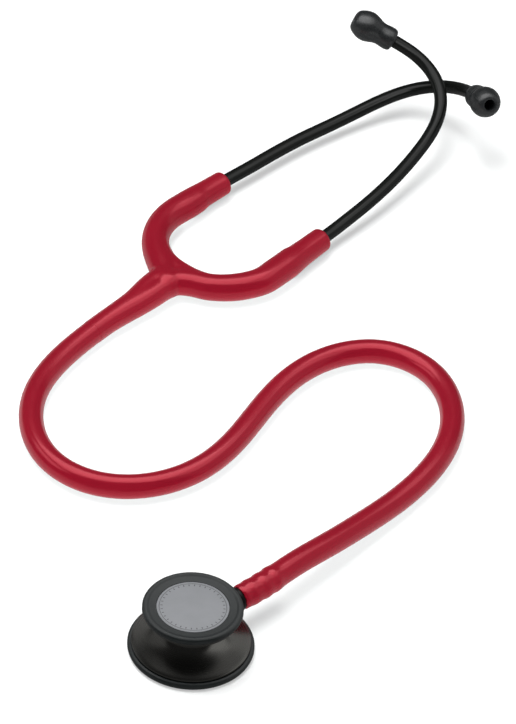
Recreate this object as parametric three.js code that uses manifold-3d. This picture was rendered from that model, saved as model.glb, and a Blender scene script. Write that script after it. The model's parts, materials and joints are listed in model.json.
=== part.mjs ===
// Dual-head acoustic stethoscope, laid on a table. Millimetres, +Z up.
// Origin: centre of the adult diaphragm's underside. The chestpiece stands on that diaphragm,
// the child head on top. The valve stem leaves it at STEM_HEADING, the tubing winds over the
// table to the yoke, and the headset lies beyond it at HEADSET_HEADING.
import * as THREE from "three";
import { mergeVertices } from "three/addons/utils/BufferGeometryUtils.js";
import Module from "manifold-3d";

const wasm = await Module();
wasm.setup();

// ---------- driving dimensions ----------
const GAP = 0.3; // running and assembly clearance

const ADULT_RIM_R = 23.0; // large head
const CHILD_RIM_R = 18.1; // small head
const CHILD_TOP_Z = 20.6; // top of the small rim
const FACE_R = 13.1; // face disc
const FACE_Z = 20.0; // its top
const FACE_UNDER_Z = 19.65; // its underside
const HEAD_SIDES = 28;

const STEM_Z = 11.5; // valve stem axis above the table
const STEM_HEADING = 43.0; // degrees from +X
const STEM_R = 3.0;
const STEM_BORE_R = 1.6;
const STEM_COLLAR_R = 4.6;
const BARB_R = 2.8;
const TUBE_START = 22.4; // distance of the tubing's end from the chestpiece axis

const TUBE_R = 4.62;
const TUBE_SIDES = 12;
const LUMEN_R = 2.35; // tubing bore
const LUMEN_SIDES = 6;
const BARB_LUMEN_R = 3.45; // bore where it is stretched over the barbs
const BARB_LUMEN_LENGTH = 19.5;

const ARM_R = 5.4; // yoke arm where the spring and the ear tube overlap
const ARM_END_R = 4.7;
const ARM_Z = 5.6;
const EAR_TUBE_R = 2.55;
const EAR_BORE_R = 1.6;

// ---------- materials ----------
const MATERIALS = {
  body: { color: 0x3a3836, roughness: 0.28, metalness: 1 },
  adultRim: { color: 0x2e3436, roughness: 0.6, metalness: 0 },
  adultDiaphragm: { color: 0xb9bcc0, roughness: 0.4, metalness: 0 },
  childRim: { color: 0x2e3436, roughness: 0.55, metalness: 0 },
  childDiaphragm: { color: 0x8c9094, roughness: 0.45, metalness: 0 },
  faceDisc: { color: 0x8f959b, roughness: 0.5, metalness: 0 },
  stem: { color: 0x55524f, roughness: 0.3, metalness: 1 },
  oRing: { color: 0x151515, roughness: 0.7, metalness: 0 },
  clip: { color: 0x9a9a9a, roughness: 0.35, metalness: 1 },
  detentBall: { color: 0xb5b5b5, roughness: 0.2, metalness: 1 },
  detentSpring: { color: 0xb5b5b5, roughness: 0.3, metalness: 1 },
  detentScrew: { color: 0x3a3836, roughness: 0.35, metalness: 1 },
  tubing: { color: 0x8c2030, roughness: 0.3, metalness: 0 },
  leafSpring: { color: 0x8a8c8e, roughness: 0.35, metalness: 1 },
  earTube: { color: 0x1d1f21, roughness: 0.45, metalness: 0.6 },
  ferrule: { color: 0x2a2c2e, roughness: 0.5, metalness: 0 },
  earTip: { color: 0x3b3e41, roughness: 0.6, metalness: 0 },
};

// ---------- solids ----------
const WELD = 1e-4; // vertices closer than this are merged
const vec = (x, y, z) => new THREE.Vector3(x, y, z);
const { degToRad, clamp } = THREE.MathUtils;

// A solid from a closed geometry: vertices merged, empty triangles dropped, faces turned outwards.
function toSolid(geometry) {
  geometry.deleteAttribute("normal");
  geometry.deleteAttribute("uv");
  const merged = mergeVertices(geometry, WELD);
  const position = merged.getAttribute("position");
  const index = merged.getIndex().array;
  const corners = [];
  for (let i = 0; i < index.length; i += 3) {
    const [a, b, c] = [index[i], index[i + 1], index[i + 2]];
    if (a !== b && b !== c && c !== a) corners.push(a, b, c);
  }
  const cornerAt = (i) => vec(0, 0, 0).fromBufferAttribute(position, corners[i]);
  let volume = 0;
  for (let i = 0; i < corners.length; i += 3)
    volume += cornerAt(i).dot(cornerAt(i + 1).cross(cornerAt(i + 2)));
  if (volume < 0)
    for (let i = 0; i < corners.length; i += 3)
      [corners[i + 1], corners[i + 2]] = [corners[i + 2], corners[i + 1]];
  return new wasm.Manifold(new wasm.Mesh({
    numProp: 3,
    vertProperties: new Float32Array(position.array),
    triVerts: new Uint32Array(corners),
  }));
}

// Turns a closed profile of [radius, height] about the local z axis, then places it.
// A profile that starts off the axis is closed on itself.
function revolve(profile, sides, place = new THREE.Matrix4()) {
  const points = profile.map(([radius, height]) => new THREE.Vector2(radius, height));
  if (profile[0][0] > 0) points.push(points[0].clone());
  return toSolid(new THREE.LatheGeometry(points, sides).rotateX(Math.PI / 2).applyMatrix4(place));
}

// A cylinder about the local z axis between two heights.
function cylinder(radius, from, to, sides, place = new THREE.Matrix4()) {
  const geometry = new THREE.CylinderGeometry(radius, radius, to - from, sides)
    .rotateX(Math.PI / 2)
    .translate(0, 0, (from + to) / 2)
    .applyMatrix4(place);
  return toSolid(geometry);
}

const ball = (centre, radius, sides, rows) =>
  toSolid(new THREE.SphereGeometry(radius, sides, rows)
    .rotateX(Math.PI / 2)
    .translate(centre.x, centre.y, centre.z));

function torus(ringR, wireR, height, sides, rows, place) {
  const profile = Array.from({ length: rows }, (_, i) => {
    const angle = (2 * Math.PI * i) / rows;
    return [ringR + wireR * Math.cos(angle), height + wireR * Math.sin(angle)];
  });
  return revolve(profile, sides, place);
}

// A matrix that puts the local z axis along a direction at origin.
function frameAlong(origin, direction) {
  const z = direction.clone().normalize();
  const x = (Math.abs(z.z) < 0.9 ? vec(0, 0, 1) : vec(1, 0, 0)).cross(z).normalize();
  const y = z.clone().cross(x);
  return new THREE.Matrix4().makeBasis(x, y, z).setPosition(origin);
}

// ---------- sweeps ----------
// A station is { point, tangent, ring }; ring is a list of [side, up] offsets.
const circle = (radius, sides) => Array.from({ length: sides }, (_, k) => {
  const angle = (2 * Math.PI * (k + 0.5)) / sides;
  return [radius * Math.cos(angle), radius * Math.sin(angle)];
});
const rectangle = (width, height) =>
  [[-1, -1], [1, -1], [1, 1], [-1, 1]].map(([x, y]) => [(x * width) / 2, (y * height) / 2]);

// Joins the rings of a run of stations and caps both ends. "reference" sets each ring's side.
function sweep(stations, reference = vec(0, 0, 1)) {
  const vertices = [], triangles = [];
  const sides = stations[0].ring.length;
  for (const { point, tangent, ring } of stations) {
    const side = reference.clone().cross(tangent).normalize();
    const up = tangent.clone().cross(side);
    for (const [x, y] of ring)
      vertices.push(point.clone().addScaledVector(side, x).addScaledVector(up, y));
  }
  for (let i = 0; i + 1 < stations.length; i++)
    for (let k = 0; k < sides; k++) {
      const here = i * sides + k;
      const next = i * sides + ((k + 1) % sides);
      triangles.push(here, next, next + sides, here, next + sides, here + sides);
    }
  const firstCentre = vertices.length, lastCentre = firstCentre + 1;
  vertices.push(stations[0].point.clone(), stations.at(-1).point.clone());
  const lastRing = (stations.length - 1) * sides;
  for (let k = 0; k < sides; k++) {
    const next = (k + 1) % sides;
    triangles.push(firstCentre, next, k, lastCentre, lastRing + k, lastRing + next);
  }
  const geometry = new THREE.BufferGeometry().setFromPoints(vertices);
  geometry.setIndex(triangles);
  return toSolid(geometry);
}

function spline(points) {
  const curve = new THREE.CatmullRomCurve3(points, false, "centripetal");
  curve.arcLengthDivisions = 1200;
  return curve;
}

// Evenly spaced stations of a curve between two arc lengths; ringAt(distance, point) shapes each.
function stationsOf(curve, from, to, step, ringAt) {
  const total = curve.getLength();
  const count = Math.max(1, Math.ceil((to - from) / step));
  return Array.from({ length: count + 1 }, (_, i) => {
    const distance = from + ((to - from) * i) / count;
    const share = clamp(distance / total, 0, 1);
    const point = curve.getPointAt(share);
    return { point, tangent: curve.getTangentAt(share), ring: ringAt(distance, point) };
  });
}

// A copy of a station moved along its own tangent.
const shifted = (station, distance, ring = station.ring) => ({
  point: station.point.clone().addScaledVector(station.tangent, distance),
  tangent: station.tangent,
  ring,
});

// Stations carried straight on past the first and the last one.
function carry(stations, before, after) {
  const carried = [...stations];
  if (before) carried.unshift(shifted(stations[0], -before));
  if (after) carried.push(shifted(stations.at(-1), after));
  return carried;
}

// Stations that round off one end of a tubing length, running outwards from it.
function domeStations(base, radius, sign) {
  const ROWS = 3;
  return Array.from({ length: ROWS }, (_, i) => {
    const angle = (Math.PI / 2) * ((i + 1) / (ROWS + 0.25)); // stops short of the pole
    const ring = circle(radius * Math.cos(angle), TUBE_SIDES);
    return shifted(base, sign * radius * Math.sin(angle), ring);
  });
}
const domeBefore = (stations, radius) =>
  [...domeStations(stations[0], radius, -1).reverse(), ...stations];
const domeAfter = (stations, radius) =>
  [...stations, ...domeStations(stations.at(-1), radius, 1)];

const lumenRing = () => circle(LUMEN_R, LUMEN_SIDES);

// ---------- assemblies ----------
const group = new THREE.Group();
const assembly = {
  chestpiece: new THREE.Group(),
  tubing: new THREE.Group(),
  headset: new THREE.Group(),
};
group.add(...Object.values(assembly));

// Puts a solid into an assembly as a named mesh.
function addPiece(into, name, solid, material) {
  const { vertProperties, triVerts } = solid.getMesh();
  let geometry = new THREE.BufferGeometry();
  const position = new THREE.BufferAttribute(new Float32Array(vertProperties), 3);
  geometry.setAttribute("position", position);
  geometry.setIndex(new THREE.BufferAttribute(new Uint32Array(triVerts), 1));
  geometry = mergeVertices(geometry, WELD);
  geometry.computeVertexNormals();
  const mesh = new THREE.Mesh(geometry, new THREE.MeshStandardMaterial(material));
  mesh.name = name;
  assembly[into].add(mesh);
}

// ---------- chestpiece heads ----------
const stemDir = vec(Math.cos(degToRad(STEM_HEADING)), Math.sin(degToRad(STEM_HEADING)), 0);
const sideDir = vec(-stemDir.y, stemDir.x, 0);
const onStem = (distance) => vec(0, 0, STEM_Z).addScaledVector(stemDir, distance);
const stemFrame = frameAlong(onStem(0), stemDir); // local z = along the stem

const BOSS_R = 4.3; // neck that carries the stem
const BOSS_END = 18.0;
const CLIP_GROOVE = { from: 13.2, to: 14.4 }; // along the stem, in body and stem alike

const DETENT_ALONG = 3.4; // detent bore, along the stem
const DETENT_BORE_R = 1.3;
const onDetent = (distance) => onStem(DETENT_ALONG).addScaledVector(sideDir, distance);
const detentFrame = frameAlong(onDetent(0), sideDir); // local z = out from the stem axis

// Profiles are [radius, height].
const BODY_PROFILE = [
  [0, 6.4], [3.0, 6.2], [18.6, 2.6], [19.2, 1.8], [19.9, 1.8], [19.9, 3.0], [20.5, 3.2],
  [21.1, 3.5], [21.2, 4.2], [20.9, 4.7], [20.2, 5.1], [17.6, 5.9], [15.0, 6.9], [12.9, 8.2],
  [11.5, 9.6], [10.9, 11.0], [11.0, 12.4], [11.9, 13.8], [13.6, 15.0], [16.2, 16.2],
  [17.1, 16.6], [17.2, 17.4], [16.9, 17.8], [15.4, 17.8], [15.4, 18.5], [15.0, 18.7],
  [14.4, 18.7], [13.8, 17.9], [2.6, 16.3], [0, 16.2],
];
const ADULT_RIM_PROFILE = [
  [20.0, 0.3], [22.3, 0.3], [22.8, 0.7], [ADULT_RIM_R, 1.2], [ADULT_RIM_R, 2.1], [22.7, 2.7],
  [22.2, 3.0], [21.5, 3.0], [21.2, 2.8], [20.2, 2.65], [20.2, 1.8], [20.9, 1.65], [20.9, 0.6],
  [20.0, 0.6],
];
const ADULT_DIAPHRAGM_PROFILE = [
  [0, 0], [18.9, 0], [19.5, 0.9], [20.6, 0.9], [20.6, 1.3], [19.2, 1.3], [18.7, 0.45], [0, 0.45],
];
const CHILD_RIM_PROFILE = [
  [17.0, 18.15], [17.8, 18.2], [CHILD_RIM_R, 18.5], [CHILD_RIM_R, 19.9], [17.7, 20.4],
  [17.2, CHILD_TOP_Z], [16.6, CHILD_TOP_Z], [15.8, 20.3], [13.5, FACE_Z], [13.5, FACE_UNDER_Z],
  [15.9, FACE_UNDER_Z], [16.0, 19.4], [16.0, 18.15],
];
const CHILD_DIAPHRAGM = { radius: 15.6, from: 18.95, to: 19.35 };

function chestpieceBody() {
  const { from, to } = CLIP_GROOVE;
  return revolve(BODY_PROFILE, HEAD_SIDES)
    .add(cylinder(BOSS_R, 6, BOSS_END, 24, stemFrame))
    .subtract(cylinder(STEM_R + 0.2, -6.2, BOSS_END + 1, 20, stemFrame)) // stem bore
    .subtract(cylinder(3.7, from, to, 20, stemFrame)) // clip groove
    .subtract(cylinder(1.5, 5, STEM_Z, 12)) // adult sound bore
    .subtract(cylinder(1.2, STEM_Z, 17.5, 12)) // child sound bore
    .subtract(cylinder(DETENT_BORE_R, 2.5, 12, 12, detentFrame));
}

function addHeads() {
  const addRound = (name, profile, material) =>
    addPiece("chestpiece", name, revolve(profile, HEAD_SIDES), material);
  const addDisc = (name, { radius, from, to }, material) =>
    addPiece("chestpiece", name, cylinder(radius, from, to, HEAD_SIDES), material);
  const faceDisc = { radius: FACE_R, from: FACE_UNDER_Z, to: FACE_Z };

  addPiece("chestpiece", "chestpiece_body", chestpieceBody(), MATERIALS.body);
  addRound("adult_rim", ADULT_RIM_PROFILE, MATERIALS.adultRim);
  addRound("adult_diaphragm", ADULT_DIAPHRAGM_PROFILE, MATERIALS.adultDiaphragm);
  addRound("child_rim", CHILD_RIM_PROFILE, MATERIALS.childRim);
  addDisc("child_diaphragm", CHILD_DIAPHRAGM, MATERIALS.childDiaphragm);
  addDisc("child_face_disc", faceDisc, MATERIALS.faceDisc);
}

// ---------- valve stem ----------
// [radius, distance along the stem]: shaft with o-ring and clip grooves, collar, three barbs.
const STEM_PROFILE = [
  [0, -5.6], [STEM_R - 0.3, -5.6], [STEM_R, -5.3],
  [STEM_R, 7.0], [STEM_R - 0.8, 7.1], [STEM_R - 0.8, 8.9], [STEM_R, 9.0],
  [STEM_R, CLIP_GROOVE.from], [STEM_R - 0.6, 13.3], [STEM_R - 0.6, 14.3], [STEM_R, CLIP_GROOVE.to],
  [STEM_R, 18.3], [STEM_COLLAR_R - 0.3, 18.4], [STEM_COLLAR_R, 18.7],
  [STEM_COLLAR_R, 21.8], [STEM_COLLAR_R - 0.3, 22.1], [2.35, 22.1],
  [2.35, 26.9], [BARB_R, 27.2], [2.35, 32.1], [BARB_R, 32.4], [2.3, 37.3], [BARB_R - 0.05, 37.6],
  [2.1, 40.6], [0, 40.6],
];
const CLIP_PROFILE = [[2.6, 13.5], [3.45, 13.5], [3.45, 14.1], [2.6, 14.1]];
const CLIP_OPENING = { width: 1.8, depth: 10, from: 13, to: 15 }; // below the stem axis

function valveStem() {
  let stem = revolve(STEM_PROFILE, 16, stemFrame)
    .subtract(cylinder(STEM_BORE_R, -2.2, 42, 10, stemFrame))
    .subtract(cylinder(1.3, STEM_Z - 4, STEM_Z, 12)); // port, facing the adult cone
  for (const side of [1, -1]) // detent pockets, half a turn apart
    stem = stem.subtract(ball(onDetent(side * 3.75), 1.3, 12, 6));
  return stem;
}

// C-clip: a ring with a gap at the bottom.
function retainingClip() {
  const { width, depth, from, to } = CLIP_OPENING;
  const opening = [from, to].map((distance) => ({
    point: onStem(distance).add(vec(0, 0, -depth / 2)),
    tangent: stemDir,
    ring: rectangle(width, depth),
  }));
  return revolve(CLIP_PROFILE, 18, stemFrame).subtract(sweep(opening));
}

// ---------- detent: ball, coil spring and screw in the side bore ----------
const COIL = {
  turns: 3,
  stepsPerTurn: 8,
  radius: 0.85,
  wireR: 0.17,
  start: 5.45, // from the stem axis
  length: 2.0,
  tangentRise: 1 / Math.PI, // axial part of each ring's tangent
};

function detentSpring() {
  const { turns, stepsPerTurn, radius, wireR, start, length, tangentRise } = COIL;
  const steps = turns * stepsPerTurn;
  const stations = Array.from({ length: steps + 1 }, (_, i) => {
    const angle = (2 * Math.PI * i) / stepsPerTurn;
    const x = radius * Math.cos(angle), y = radius * Math.sin(angle);
    return {
      point: vec(x, y, start + (length * i) / steps).applyMatrix4(detentFrame),
      tangent: vec(-y, x, tangentRise).transformDirection(detentFrame),
      ring: circle(wireR, 4),
    };
  });
  return sweep(stations, sideDir);
}

// Screw with a hexagonal socket in its outer end.
const detentScrew = () => cylinder(1.05, 7.75, 9.5, 12, detentFrame)
  .subtract(cylinder(0.45, 8.6, 10, 6, detentFrame));

function addStemParts() {
  const oRing = torus(2.72, 0.3, 8, 16, 6, stemFrame);
  addPiece("chestpiece", "stem", valveStem(), MATERIALS.stem);
  addPiece("chestpiece", "stem_o_ring", oRing, MATERIALS.oRing);
  addPiece("chestpiece", "stem_retaining_clip", retainingClip(), MATERIALS.clip);
  addPiece("chestpiece", "detent_ball", ball(onDetent(4.2), 1.0, 12, 6), MATERIALS.detentBall);
  addPiece("chestpiece", "detent_spring", detentSpring(), MATERIALS.detentSpring);
  addPiece("chestpiece", "detent_screw", detentScrew(), MATERIALS.detentScrew);
}

// ---------- tubing ----------
// Centreline [x, y, z] after its start on the stem, on to the yoke.
const TUBE_PATH = [
  [23.04, 21.48, 11.5], [34.75, 34.94, 10.92], [47.93, 50.23, 8.77], [60.65, 65.86, 6.26],
  [73.14, 81.73, 4.73], [84.09, 98.75, 4.66], [90.84, 117.86, 4.66], [90.4, 138.2, 4.66],
  [80.75, 155.79, 4.66], [63.07, 163.62, 4.66], [43.86, 157.9, 4.66], [29.48, 143.7, 4.66],
  [19.6, 126.02, 4.66], [10.7, 107.53, 4.66], [-1.29, 91.23, 4.66], [-18.35, 80.58, 4.66],
  [-38.23, 79.09, 4.66], [-55.3, 88.64, 4.66], [-64.63, 106.76, 4.66], [-64.92, 127.11, 4.66],
  [-57.9, 145.8, 4.66], [-46.69, 162.9, 4.72], [-34.19, 178.6, 5.05], [-20.49, 194.82, ARM_Z],
];
// Flex points: arc lengths from the chestpiece end. Each is a socket on the next length's dome.
const HINGES = [61, 126, 193, 260, 326, 394];

const tube = spline([onStem(TUBE_START), ...TUBE_PATH.map((point) => vec(...point))]);
const tubeLength = tube.getLength();

function tubingLength(from, to, isFirst) {
  const outer = stationsOf(tube, from, to, 8, () => circle(TUBE_R, TUBE_SIDES));
  const lumen = stationsOf(tube, from, to, 10, lumenRing);
  const piece = sweep(isFirst ? outer : domeBefore(outer, TUBE_R))
    .subtract(sweep(carry(lumen, 8, 3)))
    .subtract(ball(tube.getPointAt(to / tubeLength), TUBE_R + GAP, 14, 8));
  if (!isFirst) return piece;
  const barbLumen = stationsOf(tube, 0, BARB_LUMEN_LENGTH, 4.5, () => circle(BARB_LUMEN_R, 12));
  return piece.subtract(sweep(carry(barbLumen, 2, 0)));
}

function addTubing() {
  HINGES.forEach((to, i) => {
    const piece = tubingLength(i === 0 ? 0 : HINGES[i - 1], to, i === 0);
    addPiece("tubing", "tubing_" + (i + 1), piece, MATERIALS.tubing);
  });
}

// ---------- headset frame and arms ----------
// Centre between the arm ends; "along" points away from the yoke, "across" to its left.
const HEADSET_CENTRE = vec(20.96, 243.53, 0);
const HEADSET_HEADING = degToRad(51.186); // from +X
const alongDir = vec(Math.cos(HEADSET_HEADING), Math.sin(HEADSET_HEADING), 0);
const acrossDir = vec(-alongDir.y, alongDir.x, 0);
const headsetOffset = (origin, along, across, up) => origin.clone()
  .addScaledVector(alongDir, along)
  .addScaledVector(acrossDir, across)
  .add(vec(0, 0, up));
const inHeadset = (along, across, z = ARM_Z) => headsetOffset(HEADSET_CENTRE, along, across, z);
const alongOf = (point) => point.clone().sub(HEADSET_CENTRE).dot(alongDir);

// Arm centrelines [along, across], from the fork to the open end.
const ARM_LEFT = [
  [-64, 0.7], [-60.2, 4.6], [-56.2, 10.2], [-52.3, 15.8], [-47.8, 20.5], [-42.4, 24.0],
  [-36.5, 26.1], [-30, 26.9], [-24.7, 26.8], [-19, 26.5], [-13.4, 26.1], [-7.7, 25.7],
  [-3.2, 25.4],
];
const ARM_RIGHT = [
  [-64, 0.7], [-60.4, -3.0], [-56.6, -8.6], [-53.0, -13.6], [-49.6, -17.4], [-45.6, -20.6],
  [-41.4, -22.9], [-36.6, -24.4], [-30, -24.9], [-25.9, -24.95], [-20.2, -24.95],
  [-14.4, -24.9], [-8.5, -24.8], [-2.4, -24.7],
];
// Arm outer radius [along, radius].
const ARM_RADII = [
  [-64, 5.5], [-52, 5.3], [-42, 5.3], [-34, ARM_R],
  [-20, 5.35], [-14, 4.95], [-6, 4.8], [-2, ARM_END_R],
];
const ARM_HINGE_ALONG = -30; // where the arms flex

function armRadius(along) {
  for (let i = 0; i + 1 < ARM_RADII.length; i++) {
    const [[from, fromR], [to, toR]] = [ARM_RADII[i], ARM_RADII[i + 1]];
    if (along <= to) return fromR + ((toR - fromR) * Math.max(0, along - from)) / (to - from);
  }
  return ARM_END_R;
}
const armRing = (_, point) => circle(armRadius(alongOf(point)), TUBE_SIDES);

// Arc length at which a curve reaches a place along the headset axis.
function lengthAt(curve, along) {
  const SAMPLES = 2000;
  const total = curve.getLength();
  for (let i = 0; i <= SAMPLES; i++)
    if (alongOf(curve.getPointAt(i / SAMPLES)) >= along) return (total * i) / SAMPLES;
  return total;
}

function makeArm(path) {
  const curve = spline(path.map(([along, across]) => inHeadset(along, across)));
  return { curve, hingeAt: lengthAt(curve, ARM_HINGE_ALONG), total: curve.getLength() };
}
const arms = { left: makeArm(ARM_LEFT), right: makeArm(ARM_RIGHT) };

// ---------- leaf spring ----------
// A strip that follows the inner side of both arms round the fork.
const LEAF = {
  offset: 3.45, // from the arm centreline
  thickness: 0.7,
  width: 4.2,
  pocketPlay: 0.6, // added to both for the pocket
  pocketExtra: 9, // pocket beyond each end
};

// Strip points beside one arm, from past its hinge back to the fork. inward: 1 = left, -1 = right.
function besideArm({ curve, hingeAt, total }, inward) {
  const points = [];
  for (let distance = hingeAt + 3; distance >= 7; distance -= 6) {
    const share = distance / total;
    const normal = vec(0, 0, 1).cross(curve.getTangentAt(share)).normalize();
    points.push(curve.getPointAt(share).addScaledVector(normal, inward * LEAF.offset));
  }
  return points;
}
const leafCurve = spline([
  ...besideArm(arms.left, -1),
  inHeadset(-59.4, 0.7),
  ...besideArm(arms.right, 1).reverse(),
]);

function leafStrip(play, extra) {
  const ring = () => rectangle(LEAF.thickness + play, LEAF.width + play);
  const stations = stationsOf(leafCurve, 3, leafCurve.getLength() - 3, 4, ring);
  return sweep(carry(stations, extra, extra));
}

// ---------- yoke ----------
const YOKE_FROM = HINGES.at(-1);
const YOKE_SWELL = { from: 446, rate: 0.024 }; // radius gained per mm of tubing from there on
const FORK_R = 5.6; // the thickened fork

function tubingYoke() {
  const stalkRing = (distance) => {
    const swell = Math.max(0, distance - YOKE_SWELL.from) * YOKE_SWELL.rate;
    return circle(TUBE_R + swell, TUBE_SIDES);
  };
  const bothArms = Object.values(arms);
  let yoke = sweep(domeBefore(stationsOf(tube, YOKE_FROM, tubeLength, 8, stalkRing), TUBE_R));
  for (const { curve, hingeAt } of bothArms)
    yoke = yoke.add(sweep(domeAfter(stationsOf(curve, 0, hingeAt, 5, armRing), ARM_R)));
  yoke = yoke.add(ball(arms.left.curve.getPointAt(0), FORK_R, 12, 6));

  const stalkLumen = stationsOf(tube, YOKE_FROM, tubeLength - 1, 10, lumenRing);
  yoke = yoke.subtract(sweep(carry(stalkLumen, 8, 0)));
  for (const { curve, hingeAt } of bothArms)
    yoke = yoke.subtract(sweep(carry(stationsOf(curve, 0, hingeAt, 7, lumenRing), 0, 8)));
  return yoke.subtract(leafStrip(LEAF.pocketPlay, LEAF.pocketExtra));
}

function addYoke() {
  addPiece("headset", "tubing_yoke", tubingYoke(), MATERIALS.tubing);
  addPiece("headset", "headset_spring", leafStrip(0, 0), MATERIALS.leafSpring);
}

// ---------- ear tubes ----------
// Centreline in its own frame: x along, y inward, z up. Both tubes are bent alike.
const EAR_LENGTH = 117.35; // outside the arm
// Values at even spacing along the tube.
const EAR_CURVATURE = [ // radians per mm, inward
  -0.0019, 0.0025, 0.0054, 0.0033, 0.0035, 0.0232, 0.0456, 0.0438, 0.0219,
];
const EAR_RISE = [0, -0.0051, 0.2, 0.3821]; // radians above the frame's xy plane
const EAR_INSIDE_ALONG = [-22, -16, -10, -4]; // the tube's places inside the arm, inner end first
const EAR_STEPS = 240;
const EAR_STEPS_PER_POINT = 12; // steps between spline points
// Start of each tube in the headset frame, its turns in radians, and the sign of inward.
const EARS = {
  left: { along: 7.898, across: 24.264, yaw: 0.0828, pitch: 0.0022, roll: 0.071, side: -1 },
  right: { along: 2.303, across: -24.65, yaw: -0.0027, pitch: 0.0812, roll: 0.0817, side: 1 },
};

const NECK_R = 2.2; // ear tube inside the ear tip
const NECK_END = 8.0; // beyond the end of the centreline
const TIP_LENGTH = 18.4;
const TIP_BULB_R = 6.05;
const TIP_NECK_R = 4.5;
const TIP_BORE_R = 3.6;
const TIP_HOLE_R = 2.55;

// [radius, distance beyond the end of the centreline]
const FERRULE_PROFILE = [
  [2.5, 1.0], [3.0, 1.0], [3.0, 4.2], [3.35, 4.5], [3.35, 5.4], [2.9, 7.2], [2.5, 7.2],
];
const TIP_PROFILE = [
  [TIP_BORE_R, 0.3], [3.9, 0.3], [4.4, 0.9], [4.62, 2.2], [4.6, 3.6], [TIP_NECK_R, 5.4],
  [4.6, 7.2], [5.0, 8.4], [5.6, 9.9], [TIP_BULB_R, 11.8], [TIP_BULB_R, 13.0], [5.65, 14.9],
  [5.0, 16.4], [4.1, 17.7], [3.3, TIP_LENGTH], [TIP_HOLE_R + 0.3, TIP_LENGTH],
  [TIP_HOLE_R, 17.8], [TIP_HOLE_R, 9.4], [TIP_BORE_R, 8.9],
];

// Linear interpolation in a table of evenly spaced values, share running 0 to 1.
function interpolate(share, values) {
  const x = share * (values.length - 1);
  const i = Math.min(values.length - 2, Math.floor(x));
  return values[i] + (values[i + 1] - values[i]) * (x - i);
}

// The ear tube's centreline, its end point and its direction there.
function earRun({ along, across, yaw, pitch, roll, side }, arm) {
  const step = EAR_LENGTH / EAR_STEPS;
  const curvatureAt = (i) => interpolate(i / EAR_STEPS, EAR_CURVATURE);
  const local = [vec(0, 0, 0)], directions = [];
  let bend = 0;
  for (let i = 0; i <= EAR_STEPS; i++) {
    if (i > 0) bend += ((curvatureAt(i) + curvatureAt(i - 1)) / 2) * step;
    const rise = interpolate(i / EAR_STEPS, EAR_RISE);
    const level = Math.cos(rise);
    directions.push(vec(Math.cos(bend) * level, Math.sin(bend) * level, Math.sin(rise)));
    if (i === 0) continue;
    const sum = directions[i].clone().add(directions[i - 1]);
    local.push(local[i - 1].clone().addScaledVector(sum, step / 2));
  }
  const turn = new THREE.Matrix4().makeRotationZ(yaw)
    .multiply(new THREE.Matrix4().makeRotationY(-pitch))
    .multiply(new THREE.Matrix4().makeRotationX(roll));
  const turned = (vector) => {
    const { x, y, z } = vector.clone().applyMatrix4(turn);
    return headsetOffset(vec(0, 0, 0), x, y * side, z);
  };
  const start = inHeadset(along, across, ARM_Z - 0.05);
  const points = local.map((point) => turned(point).add(start));
  // inside the arm the tube follows the arm's own centreline
  const inside = EAR_INSIDE_ALONG.map((place) =>
    arm.curve.getPointAt(lengthAt(arm.curve, place) / arm.total));
  const outside = points.filter((_, i) => i > 0 && i % EAR_STEPS_PER_POINT === 0);
  return {
    curve: spline([...inside, ...outside]),
    end: points.at(-1),
    direction: turned(directions.at(-1)).normalize(),
  };
}

// Arm beyond its hinge, swollen over the ear tube, narrowed at its open end.
function armSleeve({ curve, hingeAt, total }, earCurve) {
  const shell = stationsOf(curve, hingeAt, total, 5, armRing);
  shell.push(shifted(shell.at(-1), 1.0, circle(ARM_END_R - 0.5, TUBE_SIDES)));
  const lumenR = LUMEN_R - 0.2;
  const lumen = stationsOf(curve, hingeAt, total, 7, () => circle(lumenR, LUMEN_SIDES));
  const earBore = stationsOf(earCurve, 0, 30, 6, () => circle(EAR_TUBE_R + GAP, 12));
  return sweep(shell)
    .subtract(ball(curve.getPointAt(hingeAt / total), ARM_R + GAP, 14, 8))
    .subtract(sweep(lumen))
    .subtract(sweep(carry(earBore, 1, 0)));
}

// Full diameter, necked where the ear tip goes on.
function earTube({ curve, direction }) {
  const run = (step, radius, sides) => {
    const stations = stationsOf(curve, 0, curve.getLength(), step, () => circle(radius, sides));
    stations.at(-1).tangent = direction; // the end faces straight into the tip
    return stations;
  };
  const outer = run(7, EAR_TUBE_R, 10);
  const end = outer.at(-1);
  for (const [distance, radius] of [[0.4, EAR_TUBE_R], [0.7, NECK_R], [NECK_END, NECK_R]])
    outer.push(shifted(end, distance, circle(radius, 10)));
  return sweep(outer).subtract(sweep(carry(run(9, EAR_BORE_R, 6), 2, NECK_END + 1.5)));
}

function addEar(name) {
  const arm = arms[name];
  const ear = earRun(EARS[name], arm);
  const tipFrame = frameAlong(ear.end, ear.direction);
  const ferrule = revolve(FERRULE_PROFILE, 12, tipFrame);
  const tip = revolve(TIP_PROFILE, 14, tipFrame);
  addPiece("headset", "tubing_arm_" + name, armSleeve(arm, ear.curve), MATERIALS.tubing);
  addPiece("headset", name + "_ear_tube", earTube(ear), MATERIALS.earTube);
  addPiece("headset", name + "_ear_ferrule", ferrule, MATERIALS.ferrule);
  addPiece("headset", name + "_ear_tip", tip, MATERIALS.earTip);
}

addHeads();
addStemParts();
addTubing();
addYoke();
addEar("left");
addEar("right");

export default group;
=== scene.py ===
import bpy
import bmesh
import json
import math
import numpy as np
from mathutils import Matrix, Vector

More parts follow.
